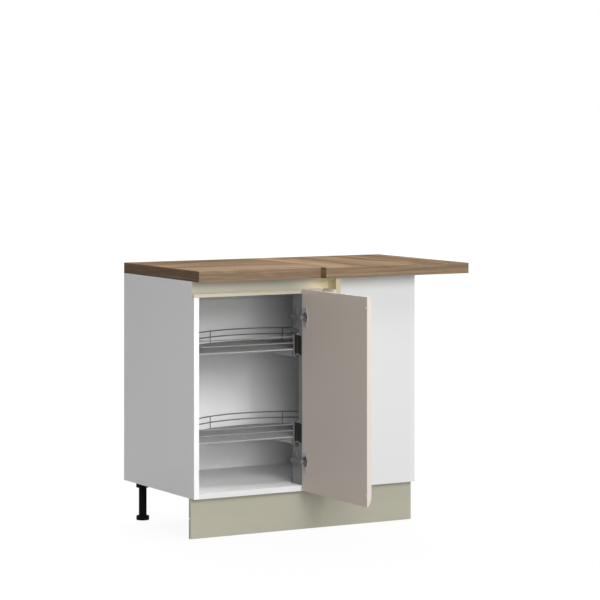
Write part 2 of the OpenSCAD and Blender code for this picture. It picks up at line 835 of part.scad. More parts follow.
module leg_tubes() color("black") home() for (p = leg_places) translate([p[0], p[1], tube_z]) difference() {
    cylinder(d = leg_d, h = tube_top - tube_z);
    translate([0, 0, -1]) cylinder(d = stem_d + 2 * free_gap, h = stem_l + free_gap + 1);
}

module foot(p) {
    translate([p[0], p[1], 0]) {
        cylinder(d = foot_d, h = foot_t - foot_edge);
        translate([0, 0, foot_t - foot_edge])
            cylinder(d1 = foot_d, d2 = foot_d - 2 * foot_edge, h = foot_edge);
        cylinder(d = stem_d, h = foot_t + stem_l);
    }
}

module foot_rear_left() color("black") home() foot(leg_places[0]);
module foot_rear_right() color("black") home() foot(leg_places[1]);
module foot_front_left() color("black") home() foot(leg_places[2]);
module foot_front_right() color("black") home() foot(leg_places[3]);
module foot_middle() color("black") home() foot(leg_places[4]);

module plinth() color("darkkhaki") home() difference() {
    span([0, plinth_back, plinth_gap], [carcass_w, plinth_back + plinth_t, plinth_gap + plinth_h]);
    span([-eps, plinth_back + plinth_t - slot_d, slot_z - slot_w / 2],
         [carcass_w + eps, plinth_back + plinth_t + eps, slot_z + slot_w / 2]);
}

module plinth_clips() color("black") home() for (p = front_legs) translate([p[0], p[1], slot_z]) {
    back = plinth_back + plinth_t - p[1];
    difference() {
        union() {
            cylinder(d = leg_d + 2 * seat + 2 * clip_t, h = clip_h, center = true);
            span([-clip_w / 2, back + seat, -clip_h / 2], [clip_w / 2, -leg_d / 2, clip_h / 2]);
        }
        cylinder(d = leg_d + 2 * seat, h = clip_h + 2, center = true);
        translate([-clip_open / 2, 0, -clip_h]) cube([clip_open, leg_d, 2 * clip_h]);
    }
    span([-clip_w / 2, back - slot_d + seat, -slot_w / 2 + seat],
         [clip_w / 2, back + clip_t, slot_w / 2 - seat]);
}

side_left();
side_right();
bottom_panel();
back_panel();
top_rail_front();
top_rail_rear();
blind_panel();
hinge_batten_lower();
hinge_batten_upper();
carcass_dowels();
worktop_left();
worktop_right();
worktop_joint_bolts();
worktop_screws();
handle_channel_front();
handle_channel_return();
handle_channel_cap();
filler_front();
filler_return();
filler_packer();
door();
hinge_cup_lower();
hinge_cup_upper();
hinge_pin_lower();
hinge_pin_upper();
hinge_arm_lower();
hinge_arm_upper();
hinge_plate_lower();
hinge_plate_upper();
hinge_screws();
door_buffers();
lower_tray_floor();
lower_tray_gallery();
lower_tray_arm();
lower_tray_hub();
upper_tray_floor();
upper_tray_gallery();
upper_tray_arm();
upper_tray_hub();
lower_pivot_bracket();
upper_pivot_bracket();
lower_pivot_pin();
upper_pivot_pin();
lower_pivot_cover();
upper_pivot_cover();
pivot_screws();
leg_sockets();
socket_screws();
leg_tubes();
foot_rear_left();
foot_rear_right();
foot_front_left();
foot_front_right();
foot_middle();
plinth();
plinth_clips();
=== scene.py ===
"""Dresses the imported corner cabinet: rounded boards, bent wires, worked screws and procedural finishes."""
import json
import logging
import math
from dataclasses import dataclass, field
from enum import Enum
from typing import Any, ClassVar, Mapping, Sequence

import bmesh
import bpy
from mathutils import Matrix, Vector


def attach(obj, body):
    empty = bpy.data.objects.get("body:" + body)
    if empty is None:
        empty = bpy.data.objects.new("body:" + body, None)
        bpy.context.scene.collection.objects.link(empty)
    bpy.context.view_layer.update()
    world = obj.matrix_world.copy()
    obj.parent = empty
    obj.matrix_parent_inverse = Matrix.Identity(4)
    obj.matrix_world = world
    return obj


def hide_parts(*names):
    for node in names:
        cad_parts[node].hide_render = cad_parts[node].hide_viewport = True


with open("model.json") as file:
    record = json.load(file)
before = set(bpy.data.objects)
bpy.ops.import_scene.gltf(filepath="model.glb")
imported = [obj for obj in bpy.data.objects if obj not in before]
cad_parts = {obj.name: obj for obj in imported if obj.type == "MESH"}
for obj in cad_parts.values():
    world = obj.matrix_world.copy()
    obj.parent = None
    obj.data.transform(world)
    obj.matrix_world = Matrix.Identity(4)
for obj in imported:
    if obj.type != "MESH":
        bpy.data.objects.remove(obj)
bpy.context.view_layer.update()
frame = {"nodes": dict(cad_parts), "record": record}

LOG = logging.getLogger("cabinet")
MM = 0.001

# Heights of the upper faces of the tray floors, in millimetres.
LOWER_FLOOR = 303.0
UPPER_FLOOR = 589.5

Colour = tuple[float, float, float]
Pair = tuple[float, float]
Place = tuple[float, float, float]


class Axis(Enum):
    """A direction of the shared frame that a grain or a brushing follows."""

    X = 0
    Y = 1
    Z = 2


class Level(Enum):
    """The height of a tray or a hinge."""

    LOWER = "lower"
    UPPER = "upper"


class Rounding(Enum):
    """How many segments round an edge."""

    HARDWARE = 2
    BOARD = 3


# ---------------------------------------------------------------- shader maths


MIDDLE = 0.5


@dataclass(frozen=True)
class Texture:
    """The scale, octaves, roughness and distortion of a noise texture, whose values lie about MIDDLE."""

    scale: float
    detail: float = 2.0
    rough: float = 0.5
    bend: float = 0.0


class Value:
    """A shader socket that takes part in Python arithmetic."""

    def __init__(self, graph: "Graph", socket: bpy.types.NodeSocket) -> None:
        """Wraps one output socket.

        Args:
            graph: the graph that owns the socket.
            socket: the output socket.
        """
        self.graph = graph
        self.socket = socket

    def _math(self, operation: str, left: "Value | float", right: "Value | float") -> "Value":
        """Adds a Math node and returns its result."""
        return self.graph.node("ShaderNodeMath", {"operation": operation}, {0: left, 1: right})

    def __add__(self, other: "Value | float") -> "Value":
        """Returns self + other."""
        return self._math("ADD", self, other)

    def __radd__(self, other: "Value | float") -> "Value":
        """Returns other + self."""
        return self._math("ADD", other, self)

    def __sub__(self, other: "Value | float") -> "Value":
        """Returns self - other."""
        return self._math("SUBTRACT", self, other)

    def __rsub__(self, other: "Value | float") -> "Value":
        """Returns other - self."""
        return self._math("SUBTRACT", other, self)

    def __mul__(self, other: "Value | float") -> "Value":
        """Returns self * other."""
        return self._math("MULTIPLY", self, other)

    def __rmul__(self, other: "Value | float") -> "Value":
        """Returns other * self."""
        return self._math("MULTIPLY", other, self)

    def over(self, other: "Value | float") -> "Value":
        """Returns 1 where self is greater than other, else 0."""
        return self._math("GREATER_THAN", self, other)

    def largest(self, other: "Value | float") -> "Value":
        """Returns the larger of self and other."""
        return self._math("MAXIMUM", self, other)

    def limited(self) -> "Value":
        """Returns the value held between 0 and 1."""
        return self.graph.node("ShaderNodeClamp", {}, {"Value": self})

    def rise(self, low: float, high: float) -> "Value":
        """Returns 0 up to low, 1 from high on and a slope between them."""
        return ((self - low) * (1.0 / (high - low))).limited()


class Graph:
    """A node tree of a material or a world, filled through one node-making method."""

    def __init__(self, owner: bpy.types.Material | bpy.types.World) -> None:
        """Empties the owner's tree.

        Args:
            owner: the material or world that the tree belongs to.
        """
        owner.use_nodes = True
        self.owner = owner
        self.tree = owner.node_tree
        self.tree.nodes.clear()

    def node(
        self,
        kind: str,
        settings: Mapping[str, Any] | None = None,
        inputs: Mapping[str | int, Any] | None = None,
        output: str | int | None = 0,
    ) -> Value | None:
        """Adds a node, sets it up and fills its sockets.

        Args:
            kind: the node's Blender type.
            settings: the node's properties; "stops" holds a ramp's positions and colours.
            inputs: socket names or numbers with their values or links.
            output: the output socket that is returned, or None for a node that ends a tree.

        Returns:
            The chosen output, or None.
        """
        made = self.tree.nodes.new(kind)
        for name, value in (settings or {}).items():
            if name == "stops":
                self._set_stops(made.color_ramp, value)
            else:
                setattr(made, name, value)
        for key, value in (inputs or {}).items():
            if isinstance(value, Value):
                self.tree.links.new(value.socket, made.inputs[key])
            else:
                made.inputs[key].default_value = value
        return None if output is None else Value(self, made.outputs[output])

    @staticmethod
    def _set_stops(ramp: bpy.types.ColorRamp, stops: Sequence[tuple[float, Colour]]) -> None:
        """Writes a ramp's stops.

        Args:
            ramp: the ramp.
            stops: its positions and colours, in order.
        """
        while len(ramp.elements) < len(stops):
            ramp.elements.new(0.5)
        for element, (position, colour) in zip(ramp.elements, stops):
            element.position = position
            element.color = (*colour, 1.0)

    def scaled(self, vector: Value, scale: Sequence[float]) -> Value:
        """Returns a vector scaled along each axis."""
        return self.node("ShaderNodeMapping", {}, {"Vector": vector, "Scale": tuple(scale)})

    def place(self, scale: Sequence[float] = (1.0, 1.0, 1.0)) -> Value:
        """Returns object coordinates, scaled along each axis."""
        return self.scaled(self.node("ShaderNodeTexCoord", {}, {}, "Object"), scale)

    def part_of_place(self, axis: Axis) -> Value:
        """Returns one object coordinate."""
        return self.node("ShaderNodeSeparateXYZ", {}, {0: self.place()}, axis.value)

    def shown(self) -> Value:
        """Marks the rays that show the background.

        Returns:
            1 for camera, mirror and glass rays, and 0 for the rest.
        """
        rays = [
            self.node("ShaderNodeLightPath", {}, {}, f"Is {kind} Ray")
            for kind in ("Camera", "Glossy", "Transmission")
        ]
        return rays[0].largest(rays[1]).largest(rays[2])

    def noise(self, vector: Value, texture: Texture) -> Value:
        """Reads a noise texture.

        Args:
            vector: where the texture is read.
            texture: its settings.

        Returns:
            The texture's value.
        """
        inputs = {
            "Vector": vector, "Scale": texture.scale, "Detail": texture.detail,
            "Roughness": texture.rough, "Distortion": texture.bend,
        }
        return self.node("ShaderNodeTexNoise", {}, inputs)

    def ramp(self, factor: Value, stops: Sequence[tuple[float, Colour]]) -> Value:
        """Returns a colour ramp read at factor."""
        return self.node("ShaderNodeValToRGB", {"stops": stops}, {0: factor})

    def blend(self, factor: Value, low: Value | Colour, high: Value | Colour) -> Value:
        """Mixes two colours.

        Args:
            factor: how much of the second shows.
            low: the first colour or link.
            high: the second colour or link.

        Returns:
            The mixed colour.
        """
        inputs = {0: factor, 6: self._padded(low), 7: self._padded(high)}
        return self.node("ShaderNodeMix", {"data_type": "RGBA"}, inputs, 2)

    def bump(self, height: Value, distance: float, strength: float = 1.0) -> Value:
        """Returns a normal that height raises by up to distance."""
        inputs = {"Height": height, "Distance": distance, "Strength": strength}
        return self.node("ShaderNodeBump", {}, inputs)

    def surface(self, **inputs: Any) -> bpy.types.Material:
        """Ends the graph in a principled shader.

        Args:
            inputs: the shader's sockets, with underscores for spaces.

        Returns:
            The finished material.
        """
        named = {key.replace("_", " "): self._padded(value) for key, value in inputs.items()}
        shader = self.node("ShaderNodeBsdfPrincipled", {}, named)
        self.node("ShaderNodeOutputMaterial", {}, {"Surface": shader}, None)
        return self.owner

    @staticmethod
    def _padded(value: Any) -> Any:
        """Gives a plain colour its alpha."""
        return (*value, 1.0) if isinstance(value, tuple) and len(value) == 3 else value


# -------------------------------------------------------------------- finishes


def dimmed(colour: Colour, share: float) -> Colour:
    """Returns a colour at a share of its brightness."""
    return tuple(channel * share for channel in colour)


@dataclass(frozen=True)
class Patch:
    """The part of a surface between two places on an axis, in metres, whose upper end may be soft."""

    axis: Axis
    low: float
    high: float
    colour: Colour = (0.5, 0.5, 0.5)
    soft: float = 0.0

    def mask(self, graph: Graph) -> Value:
        """Marks the patch.

        Args:
            graph: the graph that the patch is laid in.

        Returns:
            1 within the patch and 0 beyond it.
        """
        place = graph.part_of_place(self.axis)
        if self.soft:
            inner = ((self.high - place) * (1.0 / self.soft)).limited()
        else:
            inner = 1.0 - place.over(self.high)
        return place.over(self.low) * inner


@dataclass(frozen=True)
class Finish:
    """A finish that is made into a material the first time that it is used."""

    name: str
    colour: Colour
    patch: Patch | None = field(default=None, kw_only=True)

    def material(self) -> bpy.types.Material:
        """Returns the finish's material."""
        name = f"{self.name}_finish"
        return bpy.data.materials.get(name) or self.make(Graph(bpy.data.materials.new(name)))

    def make(self, graph: Graph) -> bpy.types.Material:
        """Fills the graph."""
        raise NotImplementedError

    def patched(self, graph: Graph, shade: Value | Colour) -> Value | Colour:
        """Returns the shade with the patch's own colour laid over it."""
        return graph.blend(self.patch.mask(graph), shade, self.patch.colour) if self.patch else shade


@dataclass(frozen=True)
class WoodDecor(Finish):
    """Printed wood-grain laminate with long figure, fine pores and banded ends."""

    FIGURE: ClassVar[Texture] = Texture(2.2, 5.0, 0.62, 1.2)
    STREAKS: ClassVar[Texture] = Texture(1.0, 5.0, 0.66, 0.3)
    PORES: ClassVar[Texture] = Texture(1.0, 2.0, 0.6)
    FINE: ClassVar[Texture] = Texture(1.0, 3.0, 0.6)
    FIGURE_STRETCH: ClassVar[Pair] = (1.1, 8.5)
    STREAK_STRETCH: ClassVar[Pair] = (1.5, 85.0)
    PORE_STRETCH: ClassVar[Pair] = (26.0, 900.0)
    FINE_STRETCH: ClassVar[Pair] = (3.5, 240.0)
    FIGURE_SHARE: ClassVar[float] = 0.46
    FIGURE_CALMED: ClassVar[float] = 0.30
    STREAK_SHARE: ClassVar[float] = 0.54
    FINE_SHARE: ClassVar[float] = 0.24
    STAVE_SEED: ClassVar[float] = 7.3
    STAVE_JUMP: ClassVar[float] = 9.0
    STAVE_LIFT: ClassVar[float] = 0.37
    STAVE_SHARE: ClassVar[float] = 0.15
    STAVE_SINK: ClassVar[float] = 0.012
    PORE_START: ClassVar[float] = 0.60
    PORE_GAIN: ClassVar[float] = 9.0
    PORE_TINT: ClassVar[float] = 0.42
    PORE_DEPTH: ClassVar[float] = 0.8
    STREAK_HEIGHT: ClassVar[float] = 0.12
    STOPS: ClassVar[Sequence[float]] = (0.31, 0.41, 0.50, 0.64)
    ROUGHNESS: ClassVar[float] = 0.58
    STREAK_ROUGH: ClassVar[float] = 0.12
    PORE_ROUGH: ClassVar[float] = 0.1
    RELIEF: ClassVar[Pair] = (0.00006, 0.7)

    grain: Axis
    dark: Colour = (0.061, 0.040, 0.026)
    light: Colour = (0.275, 0.192, 0.125)
    stave: float = 0.092
    body: Pair = (-9.0, 9.0)
    band_shift: float = 2.9
    band_tone: float = 0.0

    def make(self, graph: Graph) -> bpy.types.Material:
        """Draws the figure along the grain, and across it on the edge bands at the ends.

        Args:
            graph: the material's empty graph.

        Returns:
            The finished material.
        """
        place, band = self._laid(graph)
        side = graph.node("ShaderNodeSeparateXYZ", {}, {0: place}, 1 - self.grain.value)
        stave = graph.node("ShaderNodeMath", {"operation": "FLOOR"}, {0: side * (1.0 / self.stave)})
        seeded = {"W": stave + self.STAVE_SEED}
        tone = graph.node("ShaderNodeTexWhiteNoise", {"noise_dimensions": "1D"}, seeded, "Value")
        jump = {self.grain.value: tone * self.STAVE_JUMP, 2: stave * self.STAVE_LIFT}
        shift = graph.node("ShaderNodeCombineXYZ", {}, jump)
        figure_at = graph.node(
            "ShaderNodeVectorMath", {"operation": "ADD"},
            {0: self._stretched(graph, place, self.FIGURE_STRETCH), 1: shift},
        )
        figure = graph.noise(figure_at, self.FIGURE)
        streak = graph.noise(self._stretched(graph, place, self.STREAK_STRETCH), self.STREAKS)
        pores = graph.noise(self._stretched(graph, place, self.PORE_STRETCH), self.PORES)
        pore = ((pores - self.PORE_START) * self.PORE_GAIN).limited()
        fine = graph.noise(self._stretched(graph, place, self.FINE_STRETCH), self.FINE)
        staved = (tone - MIDDLE) * self.STAVE_SHARE - self.STAVE_SINK
        mix = MIDDLE + (figure - MIDDLE) * (self.FIGURE_SHARE - band * self.FIGURE_CALMED)
        mix = mix + (streak - MIDDLE) * self.STREAK_SHARE
        mix = mix + (fine - MIDDLE) * self.FINE_SHARE + staved * (1.0 - band) + band * self.band_tone
        between = tuple((dark + plain) / 2 for dark, plain in zip(self.dark, self.colour))
        printed = graph.ramp(mix, list(zip(self.STOPS, (self.dark, between, self.colour, self.light))))
        shade = self.patched(graph, graph.blend(pore * self.PORE_TINT, printed, self.dark))
        rough = self.ROUGHNESS + streak * self.STREAK_ROUGH + pore * self.PORE_ROUGH
        height = 1.0 - pore * self.PORE_DEPTH + streak * self.STREAK_HEIGHT
        normal = graph.bump(height, *self.RELIEF)
        return graph.surface(Base_Color=shade, Roughness=rough, Normal=normal, Specular_IOR_Level=0.0)

    def _laid(self, graph: Graph) -> tuple[Value, Value]:
        """Finds where the decor is read: as it lies on the body, and turned on the edge bands.

        Args:
            graph: the material's graph.

        Returns:
            The coordinates, and a mask of the edge bands.
        """
        place = graph.place()
        parts = [graph.part_of_place(axis) for axis in Axis]
        crossed = {0: parts[1], 1: parts[0], 2: parts[2] + self.band_shift}
        turned = graph.node("ShaderNodeCombineXYZ", {}, crossed)
        band = 1.0 - Patch(self.grain, *self.body).mask(graph)
        laid = {0: band, 4: place, 5: turned}
        return graph.node("ShaderNodeMix", {"data_type": "VECTOR"}, laid, 1), band

    def _stretched(self, graph: Graph, place: Value, stretch: Pair) -> Value:
        """Scales coordinates for the grain.

        Args:
            graph: the material's graph.
            place: the coordinates.
            stretch: their scale along the grain and across it.

        Returns:
            The scaled coordinates.
        """
        along, across = stretch
        scale = [across, across, across]
        scale[self.grain.value] = along
        return graph.scaled(place, scale)


@dataclass(frozen=True)
class Melamine(Finish):
    """Pressed melamine with a fine pearl texture and a faint cloud in its tone."""

    PEARL: ClassVar[Texture] = Texture(1400.0, 2.0, 0.55)
    CLOUD: ClassVar[Texture] = Texture(5.0, 3.0, 0.5)
    CLOUD_SHARE: ClassVar[float] = 0.5
    CLOUD_DIM: ClassVar[float] = 0.975
    PEARL_ROUGH: ClassVar[float] = 0.08
    CLOUD_ROUGH: ClassVar[float] = 0.04
    RELIEF: ClassVar[Pair] = (0.00003, 0.5)
    SPECULAR: ClassVar[float] = 0.4

    roughness: float = 0.42

    def make(self, graph: Graph) -> bpy.types.Material:
        """Adds the pearl bump and the cloud.

        Args:
            graph: the material's empty graph.

        Returns:
            The finished material.
        """
        pearl = graph.noise(graph.place(), self.PEARL)
        cloud = graph.noise(graph.place(), self.CLOUD)
        dim = dimmed(self.colour, self.CLOUD_DIM)
        shade = self.patched(graph, graph.blend(cloud * self.CLOUD_SHARE, self.colour, dim))
        rough = self.roughness + pearl * self.PEARL_ROUGH + cloud * self.CLOUD_ROUGH
        normal = graph.bump(pearl, *self.RELIEF)
        return graph.surface(
            Base_Color=shade, Roughness=rough, Normal=normal, Specular_IOR_Level=self.SPECULAR
        )


@dataclass(frozen=True)
class FoilFront(Finish):
    """Semi-gloss foil over fibreboard, with the slight waviness of a pressed front."""

    WAVE: ClassVar[Texture] = Texture(26.0, 2.0, 0.5)
    FINE: ClassVar[Texture] = Texture(1100.0, 2.0, 0.5)
    WAVE_SHARE: ClassVar[float] = 0.4
    WAVE_DIM: ClassVar[float] = 0.97
    ROUGHNESS: ClassVar[float] = 0.3
    FINE_ROUGH: ClassVar[float] = 0.07
    FINE_HEIGHT: ClassVar[float] = 0.05
    RELIEF: ClassVar[Pair] = (0.00009, 0.5)
    SPECULAR: ClassVar[float] = 0.45
    COAT: ClassVar[float] = 0.15
    COAT_ROUGHNESS: ClassVar[float] = 0.2

    def make(self, graph: Graph) -> bpy.types.Material:
        """Adds the waviness and a fine sheen variation.

        Args:
            graph: the material's empty graph.

        Returns:
            The finished material.
        """
        wave = graph.noise(graph.place(), self.WAVE)
        fine = graph.noise(graph.place(), self.FINE)
        dim = dimmed(self.colour, self.WAVE_DIM)
        shade = self.patched(graph, graph.blend(wave * self.WAVE_SHARE, self.colour, dim))
        rough = self.ROUGHNESS + fine * self.FINE_ROUGH
        normal = graph.bump(wave + fine * self.FINE_HEIGHT, *self.RELIEF)
        return graph.surface(
            Base_Color=shade, Roughness=rough, Normal=normal, Specular_IOR_Level=self.SPECULAR,
            Coat_Weight=self.COAT, Coat_Roughness=self.COAT_ROUGHNESS,
        )


@dataclass(frozen=True)
class BrushedMetal(Finish):
    """Metal with fine drawn lines along one axis, which may turn over a patch to a pale, less metallic tone:
    a painted reflection.
    """

    LINES: ClassVar[Texture] = Texture(1.0, 3.0, 0.6)
    SMEAR: ClassVar[Texture] = Texture(16.0, 3.0, 0.55)
    ALONG: ClassVar[float] = 9.0
    ACROSS: ClassVar[float] = 1500.0
    LINE_TINT: ClassVar[float] = 0.14
    LINE_COLOUR: ClassVar[Colour] = (0.0, 0.0, 0.0)
    LINE_ROUGH: ClassVar[float] = 0.12
    SMEAR_ROUGH: ClassVar[float] = 0.05
    RELIEF: ClassVar[Pair] = (0.00002, 0.6)

    drawn: Axis
    roughness: float = 0.3
    metallic: float = 1.0
    painted_reflection: Patch | None = None
    far_metallic: float = 0.05

    def make(self, graph: Graph) -> bpy.types.Material:
        """Draws the lines in tone, roughness and height.

        Args:
            graph: the material's empty graph.

        Returns:
            The finished material.
        """
        scale = [self.ACROSS, self.ACROSS, self.ACROSS]
        scale[self.drawn.value] = self.ALONG
        lines = graph.noise(graph.place(scale), self.LINES)
        smear = graph.noise(graph.place(), self.SMEAR)
        tone = self.patched(graph, self.colour)
        metallic = self.metallic
        # Along the patch the tone turns pale and the metal matt: a painted reflection.
        if self.painted_reflection:
            share = graph.part_of_place(self.painted_reflection.axis).rise(self.painted_reflection.low, self.painted_reflection.high)
            tone = graph.blend(share * share, tone, self.painted_reflection.colour)
            metallic = self.metallic - share * (self.metallic - self.far_metallic)
        shade = graph.blend(lines * self.LINE_TINT, tone, self.LINE_COLOUR)
        rough = self.roughness + lines * self.LINE_ROUGH + smear * self.SMEAR_ROUGH
        normal = graph.bump(lines, *self.RELIEF)
        return graph.surface(Base_Color=shade, Metallic=metallic, Roughness=rough, Normal=normal)


@dataclass(frozen=True)
class Plated(Finish):
    """Plated steel with a faint cloud in its polish."""

    CLOUD: ClassVar[Texture] = Texture(60.0, 3.0, 0.6)
    FINE: ClassVar[Texture] = Texture(2400.0, 2.0, 0.5)
    CLOUD_ROUGH: ClassVar[float] = 0.08
    CLOUD_SHARE: ClassVar[float] = 0.4
    CLOUD_DIM: ClassVar[float] = 0.9
    RELIEF: ClassVar[Pair] = (0.000008, 0.4)

    roughness: float = 0.12
    metallic: float = 1.0

    def make(self, graph: Graph) -> bpy.types.Material:
        """Varies the polish a little.

        Args:
            graph: the material's empty graph.

        Returns:
            The finished material.
        """
        cloud = graph.noise(graph.place(), self.CLOUD)
        fine = graph.noise(graph.place(), self.FINE)
        rough = self.roughness + cloud * self.CLOUD_ROUGH
        shade = graph.blend(cloud * self.CLOUD_SHARE, self.colour, dimmed(self.colour, self.CLOUD_DIM))
        normal = graph.bump(fine, *self.RELIEF)
        return graph.surface(Base_Color=shade, Metallic=self.metallic, Roughness=rough, Normal=normal)


@dataclass(frozen=True)
class Moulded(Finish):
    """Moulded plastic or powder coat with a fine spark-eroded grain."""

    GRAIN_DETAIL: ClassVar[float] = 3.0
    GRAIN_BREAK: ClassVar[float] = 0.6
    MARKS: ClassVar[Texture] = Texture(35.0, 4.0, 0.6)
    WORN_GAIN: ClassVar[float] = 1.1
    WORN_LIFT: ClassVar[float] = 0.001
    GRAIN_ROUGH: ClassVar[float] = 0.12
    MARKS_ROUGH: ClassVar[float] = 0.08
    RELIEF: ClassVar[Pair] = (0.00005, 0.6)

    roughness: float = 0.45
    grain: float = 900.0
    specular: float = 0.4

    def make(self, graph: Graph) -> bpy.types.Material:
        """Adds the grain and soft handling marks.

        Args:
            graph: the material's empty graph.

        Returns:
            The finished material.
        """
        texture = Texture(self.grain, self.GRAIN_DETAIL, self.GRAIN_BREAK)
        grain = graph.noise(graph.place(), texture)
        marks = graph.noise(graph.place(), self.MARKS)
        worn = tuple(channel * self.WORN_GAIN + self.WORN_LIFT for channel in self.colour)
        shade = self.patched(graph, graph.blend(marks, self.colour, worn))
        rough = self.roughness + grain * self.GRAIN_ROUGH + marks * self.MARKS_ROUGH
        normal = graph.bump(grain, *self.RELIEF)
        return graph.surface(
            Base_Color=shade, Roughness=rough, Normal=normal, Specular_IOR_Level=self.specular
        )


# Places on the imported pieces where a patch ends, in metres. Most patches hold painted light or shade; the
# rear of the back board and the backing under the slabs hold their own colours.
BEYOND = 1.0
BOARD_FRONT = -0.0476
LEFT_SIDE_INNER = -0.4825
BLIND_PANEL_EDGE = -0.1046
BACK_REAR = 0.4393
DOOR_FREE_EDGE = -0.4602
LEFT_SLAB = (-0.4997, -0.0528)
RIGHT_SLAB = (-0.1166, 0.4636)
SLAB_BACKING = 0.8252
CHANNEL_PAINTED_REFLECTION = (-0.15, -0.03)
CHANNEL_LIT_LIP_TOP = 0.812
CHANNEL_LIT_LIP_SOFT = 0.034
ARM_PAINTED_SHADE_END = 0.01

WHITE = Melamine("white_melamine", (0.80, 0.80, 0.80))
# The left side's inner face is painted whiter than its outer face: painted light.
SIDE_WHITE = Melamine(
    "white_left_side", (0.79, 0.79, 0.79),
    patch=Patch(Axis.X, LEFT_SIDE_INNER, BEYOND, (0.93, 0.93, 0.93)),
)
# The right side's front edge is painted darker, as dark as the shaded blind panel beside it: painted shade.
RIGHT_WHITE = Melamine(
    "white_right_side", (0.80, 0.80, 0.80),
    patch=Patch(Axis.Y, -BEYOND, BOARD_FRONT, (0.63, 0.63, 0.635)),
)
# The bottom's front edge is painted darker than the board: painted shade.
BOTTOM_WHITE = Melamine(
    "white_bottom", (0.84, 0.84, 0.84),
    patch=Patch(Axis.Y, -BEYOND, BOARD_FRONT, (0.64, 0.64, 0.635)),
)
# The blind panel is the white board painted darker, and its left edge inside the opening darker still:
# painted shade.
BLIND_SHADED_WHITE = Melamine(
    "white_blind_panel", (0.615, 0.615, 0.62), 0.45,
    patch=Patch(Axis.X, -BEYOND, BLIND_PANEL_EDGE, (0.20, 0.20, 0.205)),
)
# The hinge battens are painted dark grey, the tone of the shade inside the opening by the door: painted
# shade.
BATTEN_SHADE_GREY = Melamine("grey_batten", (0.20, 0.20, 0.205))
BACK_WHITE = Melamine(
    "white_back_board", (0.92, 0.92, 0.92), 0.5,
    patch=Patch(Axis.Y, BACK_REAR, BEYOND, (0.30, 0.19, 0.11)),
)
BEECH = WoodDecor("beech_rod", (0.45, 0.30, 0.17), Axis.X, (0.33, 0.20, 0.11), (0.55, 0.39, 0.24))
WALNUT = (0.170, 0.117, 0.075)
BACKING = Patch(Axis.Z, 0.0, SLAB_BACKING, (0.42, 0.38, 0.33))
WALNUT_ACROSS = WoodDecor("walnut_along_the_wall", WALNUT, Axis.X, body=LEFT_SLAB, patch=BACKING)
WALNUT_DEEP = WoodDecor(
    "walnut_front_to_back", WALNUT, Axis.Y, body=RIGHT_SLAB, band_tone=0.05, patch=BACKING
)
# The door's free edge is painted lighter than its faces: painted light.
CASHMERE = FoilFront(
    "cashmere_front", (0.560, 0.492, 0.434),
    patch=Patch(Axis.Y, -BEYOND, DOOR_FREE_EDGE, (0.618, 0.550, 0.495)),
)
# The channel's lip and lower part are painted lighter, blending softly up into the darker web under the
# worktop: painted light and shade.
# Towards the corner the channel turns pale cream and almost non-metallic: a painted reflection.
CHAMPAGNE_X = BrushedMetal(
    "champagne_channel", (0.37, 0.345, 0.285), Axis.X, 0.38, 0.7,
    Patch(Axis.X, *CHANNEL_PAINTED_REFLECTION, (0.96, 0.87, 0.62)),
    patch=Patch(Axis.Z, 0.0, CHANNEL_LIT_LIP_TOP, (0.53, 0.495, 0.395), CHANNEL_LIT_LIP_SOFT),
)
# The return is the channel's metal painted pale cream and almost matt: a painted reflection.
CHAMPAGNE_Y = BrushedMetal("champagne_return", (0.94, 0.85, 0.60), Axis.Y, 0.42, 0.03)
CHAMPAGNE_END = BrushedMetal("champagne_end_cap", (0.46, 0.40, 0.26), Axis.Z, 0.45, 0.1)
PLINTH_FOIL = BrushedMetal("champagne_plinth", (0.395, 0.38, 0.305), Axis.X, 0.5, 0.2)
NICKEL = Plated("nickel_steel", (0.60, 0.60, 0.605), 0.3)
# This dark grey, far darker than the nickel of the hinge cups, is painted shade on the hinge arms, plates
# and screws and on the pivot hardware.
HINGE_SHADE_GREY = Plated("grey_steel", (0.20, 0.20, 0.205), 0.45, 0.6)
CHROME = Plated("chrome_wire", (0.26, 0.26, 0.265), 0.5, 0.6)
TRAY_GREY = Moulded("tray_grey", (0.32, 0.32, 0.32), 0.5, 1500.0)
# The arm's front end is painted dark: painted shade.
ARM_GREY = Moulded(
    "arm_grey", (0.40, 0.40, 0.405), 0.5, 2000.0, 0.2,
    patch=Patch(Axis.Y, -BEYOND, ARM_PAINTED_SHADE_END, (0.14, 0.14, 0.143)),
)
BLACK = Moulded("black_plastic", (0.012, 0.012, 0.012), 0.5, 1300.0, 0.2)
LEG_BLACK = Moulded("black_leg", (0.0075, 0.0075, 0.0075), 0.6, 1300.0, 0.02)
CLEAR = Moulded("clear_buffer", (0.50, 0.44, 0.39), 0.5, 500.0, 0.1)


# ---------------------------------------------------------------- mesh helpers


